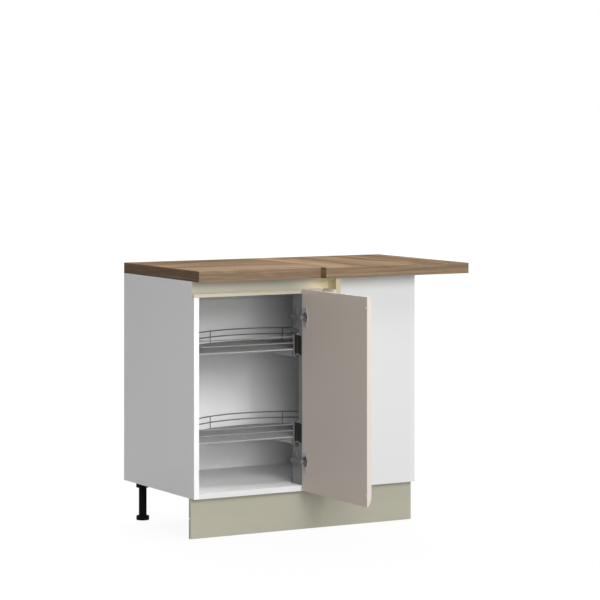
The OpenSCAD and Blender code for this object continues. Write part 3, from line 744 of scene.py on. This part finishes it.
class Shop:
    """Makes and finishes pieces: every finished piece sits at the origin with its place in its mesh."""

    UPRIGHT: ClassVar[Place] = (0.0, 0.0, 1.0)
    NO_SHIFT: ClassVar[Place] = (0.0, 0.0, 0.0)
    WELD: ClassVar[float] = 0.008 * MM
    TURNED_WELD: ClassVar[float] = 0.001 * MM
    FLAT_ANGLE: ClassVar[float] = math.radians(0.6)
    BEVEL_ANGLE: ClassVar[float] = math.radians(28.0)
    SMOOTH_ANGLE: ClassVar[float] = math.radians(40.0)
    SCREW_EDGE: ClassVar[float] = 0.2
    HEAD_SIDES: ClassVar[int] = 12
    HEAD_AREA: ClassVar[float] = 6.0 * MM * MM
    RECESS_INSET: ClassVar[float] = 0.42
    RECESS_WALL: ClassVar[float] = 0.04
    RECESS_DEPTH: ClassVar[float] = 0.3
    LOBE_LEAST: ClassVar[float] = 0.2
    LOBE_REACH: ClassVar[float] = 0.38
    LOBE_POWER: ClassVar[int] = 3

    @classmethod
    def copy_of(cls, node: str) -> bmesh.types.BMesh:
        """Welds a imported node's triangles and joins its flat faces.

        Args:
            node: the node's name.

        Returns:
            The new mesh.
        """
        made = bmesh.new()
        made.from_mesh(frame["nodes"][node].data)
        bmesh.ops.remove_doubles(made, verts=made.verts, dist=cls.WELD)
        bmesh.ops.dissolve_limit(
            made, angle_limit=cls.FLAT_ANGLE, verts=made.verts, edges=made.edges,
            use_dissolve_boundaries=False,
        )
        return made

    @classmethod
    def soften(
        cls, made: bmesh.types.BMesh, width: float, rounding: Rounding = Rounding.BOARD
    ) -> None:
        """Rounds every sharp edge.

        Args:
            made: the mesh.
            width: the bevel's width in millimetres.
            rounding: how finely the edges are rounded.
        """
        sharp = [e for e in made.edges if e.is_manifold and e.calc_face_angle() > cls.BEVEL_ANGLE]
        bmesh.ops.bevel(
            made, geom=sharp, offset=width * MM, offset_type="OFFSET", segments=rounding.value,
            profile=0.5, affect="EDGES", clamp_overlap=True, material=-1,
        )

    @classmethod
    def piece(
        cls, made: bmesh.types.BMesh, name: str, body: str, finish: Finish, replaced: Sequence[str],
        slot: str,
    ) -> bpy.types.Object:
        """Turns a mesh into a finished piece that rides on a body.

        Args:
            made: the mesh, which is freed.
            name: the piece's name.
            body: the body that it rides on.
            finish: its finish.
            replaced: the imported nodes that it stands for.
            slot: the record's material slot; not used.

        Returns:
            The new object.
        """
        for face in made.faces:
            face.smooth = True
        for edge in made.edges:
            edge.smooth = not (edge.is_manifold and edge.calc_face_angle() > cls.SMOOTH_ANGLE)
        mesh = bpy.data.meshes.new(name)
        made.to_mesh(mesh)
        made.free()
        mesh.materials.append(finish.material())
        made_object = bpy.data.objects.new(name, mesh)
        bpy.context.scene.collection.objects.link(made_object)
        weighted = made_object.modifiers.new("even_normals", "WEIGHTED_NORMAL")
        weighted.keep_sharp = True
        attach(made_object, body)
        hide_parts(*replaced)
        LOG.info("%s: %d faces on %s", name, len(mesh.polygons), body)
        return made_object

    @classmethod
    def _stand_in(
        cls, made: bmesh.types.BMesh, node: str, body: str, finish: Finish
    ) -> bpy.types.Object:
        """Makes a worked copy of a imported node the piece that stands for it.

        Args:
            made: the copy.
            node: the node's name.
            body: its body.
            finish: its finish.

        Returns:
            The new object.
        """
        slots = {part["node"]: part["material_slot"] for part in frame["record"]["subparts"]}
        return cls.piece(made, f"{node}_finished", body, finish, [node], slots[node])

    @classmethod
    def dress(
        cls, node: str, body: str, finish: Finish, width: float, rounding: Rounding = Rounding.BOARD
    ) -> bpy.types.Object:
        """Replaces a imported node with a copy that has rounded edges.

        Args:
            node: the node's name.
            body: its body.
            finish: its finish.
            width: the edges' rounding in millimetres.
            rounding: how finely the edges are rounded.

        Returns:
            The new object.
        """
        made = cls.copy_of(node)
        cls.soften(made, width, rounding)
        return cls._stand_in(made, node, body, finish)

    @classmethod
    def fasteners(cls, node: str, finish: Finish) -> bpy.types.Object:
        """Replaces a node of the cabinet's screws with copies that have cross recesses in their heads.

        Args:
            node: the node's name.
            finish: the screws' finish.

        Returns:
            The new object.
        """
        made = cls.copy_of(node)
        cls.soften(made, cls.SCREW_EDGE, Rounding.HARDWARE)
        round_faces = [face for face in made.faces if len(face.verts) >= cls.HEAD_SIDES]
        for head in [face for face in round_faces if face.calc_area() > cls.HEAD_AREA]:
            radius = math.sqrt(head.calc_area() / math.pi)
            bmesh.ops.inset_individual(made, faces=[head], thickness=cls.RECESS_INSET * radius)
            cls._lobed(head, radius)
            bmesh.ops.inset_individual(
                made, faces=[head], thickness=cls.RECESS_WALL * radius, depth=-cls.RECESS_DEPTH * radius
            )
        return cls._stand_in(made, node, "cabinet", finish)

    @classmethod
    def _lobed(cls, face: bmesh.types.BMFace, radius: float) -> None:
        """Pulls a round face into a cross with four arms.

        Args:
            face: the face.
            radius: the screw head's radius in metres.
        """
        centre = face.calc_center_median()
        right = face.normal.orthogonal().normalized()
        ahead = face.normal.cross(right)
        for vert in face.verts:
            away = vert.co - centre
            turn = math.atan2(away.dot(ahead), away.dot(right))
            lobe = abs(math.cos(2.0 * turn)) ** cls.LOBE_POWER
            vert.co = centre + away.normalized() * radius * (cls.LOBE_LEAST + cls.LOBE_REACH * lobe)

    @classmethod
    def lathe(cls, made: bmesh.types.BMesh, profile: Sequence[Pair], foot: Vector, steps: int) -> None:
        """Turns a profile about a vertical axis.

        Args:
            made: the mesh that the shape is added to.
            profile: radii and heights in millimetres, from the axis to the axis.
            foot: the axis's point at height 0, in metres.
            steps: the steps of the full turn.
        """
        verts = [made.verts.new(foot + Vector((r * MM, 0.0, z * MM))) for r, z in profile]
        edges = [made.edges.new(pair) for pair in zip(verts, verts[1:])]
        bmesh.ops.spin(
            made, geom=verts + edges, cent=foot, axis=cls.UPRIGHT, dvec=cls.NO_SHIFT,
            angle=math.tau, steps=steps, use_merge=True, use_duplicate=False,
        )
        bmesh.ops.remove_doubles(made, verts=made.verts, dist=cls.TURNED_WELD)
        bmesh.ops.recalc_face_normals(made, faces=made.faces)


# -------------------------------------------------------------- sub-assemblies


@dataclass
class Carcass:
    """The white melamine box: rails, sides, bottom, blind panel, battens, back and dowels."""

    edge: float = 0.6
    back_edge: float = 0.3
    dowel_edge: float = 0.8
    boards: Mapping[str, Finish] = field(
        default_factory=lambda: {
            "top_rail_front": WHITE,
            "top_rail_rear": WHITE,
            "side_left": SIDE_WHITE,
            "side_right": RIGHT_WHITE,
            "bottom_panel": BOTTOM_WHITE,
            "blind_panel": BLIND_SHADED_WHITE,
            "hinge_batten_lower": BATTEN_SHADE_GREY,
            "hinge_batten_upper": BATTEN_SHADE_GREY,
        }
    )

    def build(self) -> None:
        """Dresses each board, the back and the dowels."""
        for board, finish in self.boards.items():
            Shop.dress(board, "cabinet", finish, self.edge)
        Shop.dress("back_panel", "cabinet", BACK_WHITE, self.back_edge, Rounding.HARDWARE)
        Shop.dress("carcass_dowels", "cabinet", BEECH, self.dowel_edge, Rounding.HARDWARE)


@dataclass
class Worktop:
    """The two laminate slabs, their joint bolts and their screws."""

    edge: float = 0.5
    bolt_edge: float = 0.3

    def build(self) -> None:
        """Dresses the slabs with their grain at right angles."""
        Shop.dress("worktop_left", "cabinet", WALNUT_ACROSS, self.edge)
        Shop.dress("worktop_right", "cabinet", WALNUT_DEEP, self.edge)
        Shop.dress("worktop_joint_bolts", "cabinet", NICKEL, self.bolt_edge, Rounding.HARDWARE)
        Shop.fasteners("worktop_screws", NICKEL)


@dataclass
class HandleChannel:
    """The anodised finger channel over the door, its return at the corner and its end cap."""

    edge: float = 0.25

    def build(self) -> None:
        """Dresses the profile's lengths and its end cap."""
        Shop.dress("handle_channel_front", "cabinet", CHAMPAGNE_X, self.edge, Rounding.HARDWARE)
        Shop.dress("handle_channel_return", "cabinet", CHAMPAGNE_Y, self.edge, Rounding.HARDWARE)
        Shop.dress("handle_channel_cap", "cabinet", CHAMPAGNE_END, self.edge, Rounding.HARDWARE)


@dataclass
class Fronts:
    """The door leaf, its buffers and the corner filler."""

    edge: float = 0.7
    buffer_edge: float = 0.8
    packer_edge: float = 0.2

    def build(self) -> None:
        """Dresses the leaf, the buffers and the filler."""
        Shop.dress("door", "door", CASHMERE, self.edge)
        Shop.dress("door_buffers", "door", CLEAR, self.buffer_edge)
        for leg in ("filler_front", "filler_return"):
            Shop.dress(leg, "cabinet", CASHMERE, self.edge)
        Shop.dress("filler_packer", "cabinet", BEECH, self.packer_edge, Rounding.HARDWARE)


@dataclass
class Hinges:
    """The two concealed hinges, with the screws on their plates."""

    cup_edge: float = 0.2
    pin_edge: float = 0.15
    arm_edge: float = 0.35
    plate_edge: float = 0.3

    def build(self) -> None:
        """Dresses the cups and pins on the door and the arms and plates on the cabinet."""
        slim = Rounding.HARDWARE
        for level in Level:
            Shop.dress(f"hinge_cup_{level.value}", "door", NICKEL, self.cup_edge, slim)
            Shop.dress(f"hinge_pin_{level.value}", "door", NICKEL, self.pin_edge, slim)
            Shop.dress(f"hinge_arm_{level.value}", "cabinet", HINGE_SHADE_GREY, self.arm_edge, slim)
            Shop.dress(f"hinge_plate_{level.value}", "cabinet", HINGE_SHADE_GREY, self.plate_edge, slim)
        Shop.fasteners("hinge_screws", HINGE_SHADE_GREY)


@dataclass
class Tray:
    """A half-moon tray: floor, wire gallery, arm and hub. Sizes are in millimetres from its pivot."""

    FOOT_PROFILE: ClassVar[Sequence[Pair]] = ((0.0, 0.0), (2.6, 0.0), (2.4, 0.5))
    TOP_PROFILE: ClassVar[Sequence[Pair]] = ((1.9, 1.2), (0.0, 1.4))
    WIRE_WELD: ClassVar[float] = 0.02 * MM
    TIP_REACH: ClassVar[float] = 0.01 * MM

    level: Level
    floor_z: float
    pivot: Pair = (-100.0, -18.1)
    radius: float = 356.0
    front: float = 16.0
    corner: float = 25.0
    wire: float = 4.0
    wires: Pair = (20.0, 40.0)
    post_first: float = 21.5
    post_step: float = 46.5
    posts: int = 4
    post_radius: float = 1.7
    post_start: float = 1.4
    post_steps: int = 16
    weld_radius: float = 2.5
    weld_reach: float = 2.0
    weld_end: float = 3.4
    arc_steps: int = 96
    corner_steps: int = 12
    ring: int = 14
    floor_edge: float = 0.8
    arm_edge: float = 1.0
    hub_edge: float = 0.8

    def build(self) -> None:
        """Builds the tray on its own body."""
        name = f"{self.level.value}_tray"
        Shop.dress(f"{name}_floor", name, TRAY_GREY, self.floor_edge)
        Shop.dress(f"{name}_arm", name, ARM_GREY, self.arm_edge)
        Shop.dress(f"{name}_hub", name, BLACK, self.hub_edge)
        self.gallery(name)

    def _at(self, x: float, y: float, z: float) -> Vector:
        """Returns a point of the frame from millimetres about the pivot and the floor."""
        return Vector((self.pivot[0] + x, self.pivot[1] + self.front + y, self.floor_z + z)) * MM

    def gallery(self, body: str) -> None:
        """Bends the two wires and stands the uprights between them.

        Args:
            body: the tray's body.
        """
        made = bmesh.new()
        for height in self.wires:
            self._wire(made, height)
        for index in range(self.posts):
            angle = math.radians(self.post_first + index * self.post_step)
            foot = self._at(self.radius * math.cos(angle), self.radius * math.sin(angle), 0.0)
            self._post(made, foot)
        piece = Shop.piece(made, f"{body}_wires", body, CHROME, [f"{body}_gallery"], "chrome_wire")
        LOG.info("%s carries %d wires", piece.name, len(self.wires))

    def _wire(self, made: bmesh.types.BMesh, height: float) -> None:
        """Bends one closed wire: the straight front, the corners and the long arc.

        Args:
            made: the mesh that the wire is added to.
            height: the wire's height over the floor in millimetres.
        """
        inner = math.sqrt((self.radius - self.corner) ** 2 - self.corner**2)
        lean = math.atan2(self.corner, inner)
        start = self._at(-inner, 0.0, height)
        straight = Vector((2.0 * inner * MM, 0.0, 0.0))
        matrix = Matrix.Translation(start) @ Matrix.Rotation(math.pi / 2, 4, "Y")
        verts = bmesh.ops.create_circle(
            made, cap_ends=False, radius=self.wire / 2 * MM, segments=self.ring, matrix=matrix
        )["verts"]
        edges = list(dict.fromkeys(edge for vert in verts for edge in vert.link_edges))
        grown = bmesh.ops.extrude_edge_only(made, edges=edges)["geom"]
        grown_verts = [item for item in grown if isinstance(item, bmesh.types.BMVert)]
        bmesh.ops.translate(made, verts=grown_verts, vec=straight)
        last = self._tip(grown_verts, start + straight, Axis.X)
        turns = (
            (self._at(inner, self.corner, height), math.pi / 2 + lean, self.corner_steps),
            (self._at(0.0, 0.0, height), math.pi - 2.0 * lean, self.arc_steps),
            (self._at(-inner, self.corner, height), math.pi / 2 + lean, self.corner_steps),
        )
        for centre, angle, steps in turns:
            last = bmesh.ops.spin(
                made, geom=last, cent=centre, axis=Shop.UPRIGHT, dvec=Shop.NO_SHIFT, angle=angle,
                steps=steps, use_merge=False, use_duplicate=False,
            )["geom_last"]
        bmesh.ops.remove_doubles(made, verts=made.verts, dist=self.WIRE_WELD)
        bmesh.ops.recalc_face_normals(made, faces=made.faces)

    def _tip(self, verts: Sequence[bmesh.types.BMVert], centre: Vector, axis: Axis) -> list[Any]:
        """Finds the ring of a wire whose centre lies at a point.

        Args:
            verts: the wire's vertices.
            centre: the ring's centre.
            axis: the axis that the ring is square to.

        Returns:
            The ring's vertices and edges.
        """
        side = axis.value
        near = [vert for vert in verts if abs(vert.co[side] - centre[side]) < self.TIP_REACH]
        touching = dict.fromkeys(edge for vert in near for edge in vert.link_edges)
        return [*near, *(edge for edge in touching if all(vert in near for vert in edge.verts))]

    def _post(self, made: bmesh.types.BMesh, foot: Vector) -> None:
        """Stands one upright with small welds at the wires.

        Args:
            made: the mesh that the upright is added to.
            foot: its foot on the floor, in metres.
        """
        low, high = self.wires
        profile = [
            *self.FOOT_PROFILE,
            (self.post_radius, self.post_start),
            (self.post_radius, low - self.weld_end),
            (self.weld_radius, low - self.weld_reach),
            (self.weld_radius, low + self.weld_reach),
            (self.post_radius, low + self.weld_end),
            (self.post_radius, high - self.weld_end),
            (self.weld_radius, high - self.weld_reach),
            *((radius, high + rise) for radius, rise in self.TOP_PROFILE),
        ]
        Shop.lathe(made, profile, foot, self.post_steps)


@dataclass
class PivotHardware:
    """The fixed brackets, pins, screws and edge covers that carry the trays."""

    bracket_edge: float = 0.5
    pin_edge: float = 0.4
    cover_edge: float = 0.4

    def build(self) -> None:
        """Dresses the hardware of both levels."""
        slim = Rounding.HARDWARE
        for level in Level:
            Shop.dress(f"{level.value}_pivot_bracket", "cabinet", HINGE_SHADE_GREY, self.bracket_edge, slim)
            Shop.dress(f"{level.value}_pivot_pin", "cabinet", HINGE_SHADE_GREY, self.pin_edge, slim)
            Shop.dress(f"{level.value}_pivot_cover", "cabinet", BLACK, self.cover_edge, slim)
        Shop.fasteners("pivot_screws", HINGE_SHADE_GREY)


@dataclass
class Legs:
    """The five levelling legs with their sockets."""

    edge: float = 0.6
    foot_edge: float = 0.8
    feet: Sequence[str] = (
        "foot_rear_left", "foot_rear_right", "foot_front_left", "foot_front_right", "foot_middle",
    )

    def build(self) -> None:
        """Dresses the sockets, their screws, the tubes and the feet."""
        for fixed in ("leg_sockets", "leg_tubes"):
            Shop.dress(fixed, "cabinet", LEG_BLACK, self.edge, Rounding.HARDWARE)
        Shop.fasteners("socket_screws", NICKEL)
        for foot in self.feet:
            Shop.dress(foot, foot, LEG_BLACK, self.foot_edge, Rounding.HARDWARE)


@dataclass
class Plinth:
    """The recessed plinth board and its clips."""

    edge: float = 0.5

    def build(self) -> None:
        """Dresses the board and the clips."""
        Shop.dress("plinth", "cabinet", PLINTH_FOIL, self.edge, Rounding.HARDWARE)
        Shop.dress("plinth_clips", "cabinet", BLACK, self.edge, Rounding.HARDWARE)


# ---------------------------------------------------------------------- studio


@dataclass
class Lamp:
    """A rectangular softbox that looks at a point. Lengths are in metres, the power in watts."""

    name: str
    place: Place
    target: Place
    size: Pair
    power: float

    def build(self) -> None:
        """Hangs the lamp."""
        data = bpy.data.lights.new(self.name, "AREA")
        data.shape = "RECTANGLE"
        data.size, data.size_y = self.size
        data.energy = self.power
        lamp = bpy.data.objects.new(self.name, data)
        lamp.location = self.place
        aim = Vector(self.target) - Vector(self.place)
        lamp.rotation_euler = aim.to_track_quat("-Z", "Y").to_euler()
        bpy.context.scene.collection.objects.link(lamp)


@dataclass
class Studio:
    """The pale floor, the soft light and the camera. Lengths are in metres, the lens in millimetres."""

    ambient: float = 0.16
    background: float = 1.0
    floor_colour: Colour = (0.34, 0.34, 0.34)
    floor_radius: float = 30.0
    floor_sides: int = 96
    floor_show: float = 0.86
    floor_white: float = 1.09
    floor_near: float = 1.2
    floor_far: float = 3.2
    camera_place: Place = (-4.298, -7.395, 1.3825)
    camera_turn: float = -29.676
    camera_sensor: float = 36.0
    camera_lens: float = 155.6
    camera_shift: float = -0.3218
    camera_reach: float = 100.0
    lamps: Sequence[Lamp] = (
        Lamp("front_left_softbox", (-2.0, -6.0, 2.55), (-0.1, 0.0, 0.5), (2.6, 4.5), 303.0),
        Lamp("front_softbox", (-0.5, -6.0, 3.0), (-0.2, 0.0, 0.4), (1.6, 2.4), 120.0),
        Lamp("top_softbox", (0.2, -0.6, 3.6), (0.0, 0.1, 0.8), (2.4, 2.4), 85.0),
        Lamp("rear_softbox", (1.2, 3.8, 4.3), (0.0, 0.2, 0.6), (3.0, 3.0), 380.0),
    )

    def build(self) -> None:
        """Sets up the stage."""
        scene = bpy.context.scene
        scene.view_settings.view_transform = "Standard"
        self._world(scene)
        self._floor(scene)
        for lamp in self.lamps:
            lamp.build()
        self._camera(scene)

    def _world(self, scene: bpy.types.Scene) -> None:
        """Lights the set evenly and shows white behind it.

        Args:
            scene: the scene that gets the world.
        """
        graph = Graph(bpy.data.worlds.new("studio"))
        soft, white = (
            graph.node("ShaderNodeBackground", {}, {"Color": (1.0, 1.0, 1.0, 1.0), "Strength": strength})
            for strength in (self.ambient, self.background)
        )
        mix = graph.node("ShaderNodeMixShader", {}, {0: graph.shown(), 1: soft, 2: white})
        graph.node("ShaderNodeOutputWorld", {}, {"Surface": mix}, None)
        scene.world = graph.owner

    def _floor(self, scene: bpy.types.Scene) -> None:
        """Lays a pale floor that looks white and keeps a soft shadow near the cabinet.

        Args:
            scene: the scene that the floor is laid in.
        """
        made = bmesh.new()
        bmesh.ops.create_circle(
            made, cap_ends=True, radius=self.floor_radius, segments=self.floor_sides
        )
        mesh = bpy.data.meshes.new("studio_floor")
        made.to_mesh(mesh)
        made.free()
        floor = bpy.data.objects.new("studio_floor", mesh)
        scene.collection.objects.link(floor)
        graph = Graph(bpy.data.materials.new("studio_floor"))
        length = {"operation": "LENGTH"}
        distance = graph.node("ShaderNodeVectorMath", length, {0: graph.place()}, "Value")
        reach = distance.rise(self.floor_near, self.floor_far)
        share = graph.shown() * (self.floor_show + reach * (1.0 - self.floor_show))
        matt = graph.node("ShaderNodeBsdfDiffuse", {}, {"Color": (*self.floor_colour, 1.0)})
        glow = graph.node("ShaderNodeEmission", {}, {"Strength": self.floor_white})
        mix = graph.node("ShaderNodeMixShader", {}, {0: share, 1: matt, 2: glow})
        graph.node("ShaderNodeOutputMaterial", {}, {"Surface": mix}, None)
        mesh.materials.append(graph.owner)

    def _camera(self, scene: bpy.types.Scene) -> None:
        """Places the level camera of the photograph's angle.

        Args:
            scene: the scene that the camera looks at.
        """
        data = bpy.data.cameras.new("studio_camera")
        data.sensor_width = self.camera_sensor
        data.lens = self.camera_lens
        data.shift_y = self.camera_shift
        data.clip_end = self.camera_reach
        camera = bpy.data.objects.new("studio_camera", data)
        camera.location = self.camera_place
        camera.rotation_euler = (math.pi / 2, 0.0, math.radians(self.camera_turn))
        scene.collection.objects.link(camera)
        scene.camera = camera


def main() -> None:
    """Builds the studio and every sub-assembly in order."""
    logging.basicConfig(level=logging.INFO, format="%(message)s")
    Studio().build()
    assemblies = [
        Carcass(), Worktop(), HandleChannel(), Fronts(), Hinges(),
        Tray(Level.LOWER, LOWER_FLOOR), Tray(Level.UPPER, UPPER_FLOOR),
        PivotHardware(), Legs(), Plinth(),
    ]
    for assembly in assemblies:
        LOG.info("building %s", type(assembly).__name__)
        assembly.build()


if __name__ == "__main__":
    main()
